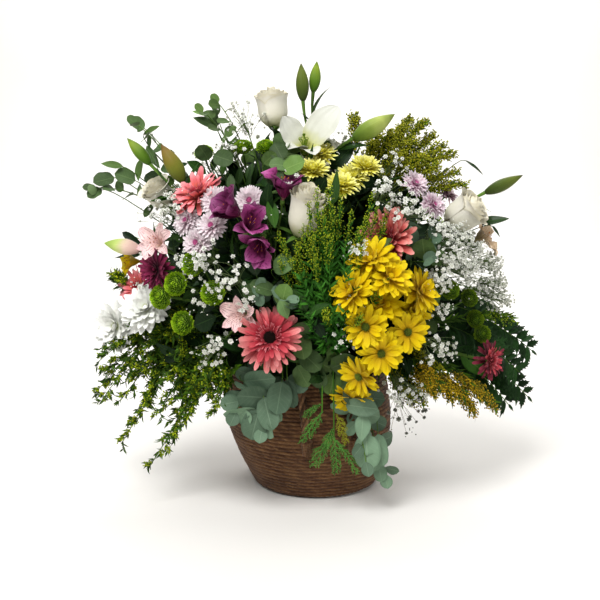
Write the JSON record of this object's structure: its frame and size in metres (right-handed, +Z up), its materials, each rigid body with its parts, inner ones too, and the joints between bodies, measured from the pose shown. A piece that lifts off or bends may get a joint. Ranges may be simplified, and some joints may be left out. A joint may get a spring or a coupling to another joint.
{
  "type": "flower basket arrangement",
  "caption": "Mixed cut flowers and greenery standing in wet floral foam in a lined, coiled seagrass basket with rope handles, to stand on a table.",
  "frame": {"origin": "middle of the basket's flat base, on the ground", "axes": "+Z up, front toward -Y, +X to the right of someone who looks at the front"},
  "size_m": [0.6847, 0.4238, 0.6409],
  "materials": {
    "seagrass_coil": "coiled and stitched dry seagrass, brown, matt",
    "seagrass_rope": "twisted dry seagrass rope, dark brown, matt",
    "liner_film": "thin dark plastic",
    "wet_foam": "fine-celled wet floral foam, dark green, matt",
    "rose_cream": "soft matt petals, cream white, greener toward the calyx",
    "gerbera_coral": "soft matt petals, coral pink with a deep red ring and a near-black eye",
    "gerbera_coral_red": "soft matt petals, coral red with a near-black eye",
    "gerbera_dark_red": "soft matt petals, dark red",
    "lily_white": "smooth waxy petals, white with a yellow-green throat",
    "lily_bud_green": "smooth waxy buds, pale green",
    "mum_white": "soft matt petals, white with a small yellow-green eye",
    "daisy_yellow": "soft matt petals, golden yellow with a dark green disc",
    "mum_lemon": "soft matt petals, pale lemon",
    "mum_pink": "soft matt petals, pale pink with a magenta eye",
    "mum_lilac": "soft matt petals, lilac",
    "pompon_lime": "many small matt petals, lime green",
    "alstroemeria_purple": "smooth petals, purple magenta with dark streaks",
    "alstroemeria_pale": "smooth petals, pale pink with dark specks",
    "alstroemeria_yellow": "smooth petals, yellow with dark streaks",
    "mum_burgundy": "soft matt petals, burgundy",
    "greens_spray": "fine matt leaflets, mid green",
    "thuja_green": "fine matt leaflets, bright green",
    "fern_dark": "leathery leaflets, dark green, a little glossy",
    "eucalyptus_grey": "round waxy leaves, silvery grey-green",
    "solidago_green": "tiny buds and narrow leaves, yellow green",
    "gypsophila_white": "tiny white florets on thin green stalks"
  },
  "bodies": {
    "root": {"basket": "seagrass_coil", "handle_front": "seagrass_rope", "handle_back": "seagrass_rope", "liner": "liner_film", "foam": "wet_foam", "rose_top": "rose_cream", "rose_centre": "rose_cream", "rose_right": "rose_cream", "rose_left": "rose_cream", "rose_back": "rose_cream", "gerbera_front": "gerbera_coral", "gerbera_upper_left": "gerbera_coral", "gerbera_left": "gerbera_coral", "gerbera_back": "gerbera_coral", "gerbera_right": "gerbera_coral_red", "gerbera_far_right": "gerbera_dark_red", "lily_flower": "lily_white", "lily_buds_top": "lily_bud_green", "lily_buds_left": "lily_bud_green", "lily_bud_low_left": "lily_bud_green", "lily_bud_right": "lily_bud_green", "white_mums_left": "mum_white", "white_mums_back": "mum_white", "daisies_upper": "daisy_yellow", "daisies_lower": "daisy_yellow", "daisies_back": "daisy_yellow", "mums_lemon": "mum_lemon", "mums_pink_left": "mum_pink", "mums_pink_back": "mum_pink", "mums_pink_right": "mum_lilac", "pompons_left": "pompon_lime", "pompons_top": "pompon_lime", "pompons_right": "pompon_lime", "pompons_back": "pompon_lime", "alstroemeria_purple": "alstroemeria_purple", "alstroemeria_pale_left": "alstroemeria_pale", "alstroemeria_pale_centre": "alstroemeria_pale", "alstroemeria_pale_right": "alstroemeria_pale", "alstroemeria_yellow": "alstroemeria_yellow", "burgundy_mum": "mum_burgundy", "greens_lower_left": "greens_spray", "thuja_front": "thuja_green", "fern_right": "fern_dark", "eucalyptus_upper_left": "eucalyptus_grey", "eucalyptus_top": "eucalyptus_grey", "eucalyptus_centre": "eucalyptus_grey", "eucalyptus_front_low": "eucalyptus_grey", "eucalyptus_hanging": "eucalyptus_grey", "eucalyptus_right": "eucalyptus_grey", "solidago_centre": "solidago_green", "solidago_upper_right": "solidago_green", "solidago_lower_right": "solidago_green", "solidago_back": "solidago_green", "gypsophila_top_left": "gypsophila_white", "gypsophila_left": "gypsophila_white", "gypsophila_centre": "gypsophila_white", "gypsophila_mid_right": "gypsophila_white", "gypsophila_right": "gypsophila_white", "gypsophila_low_right": "gypsophila_white", "gypsophila_back": "gypsophila_white"}
  },
  "joints": []
}
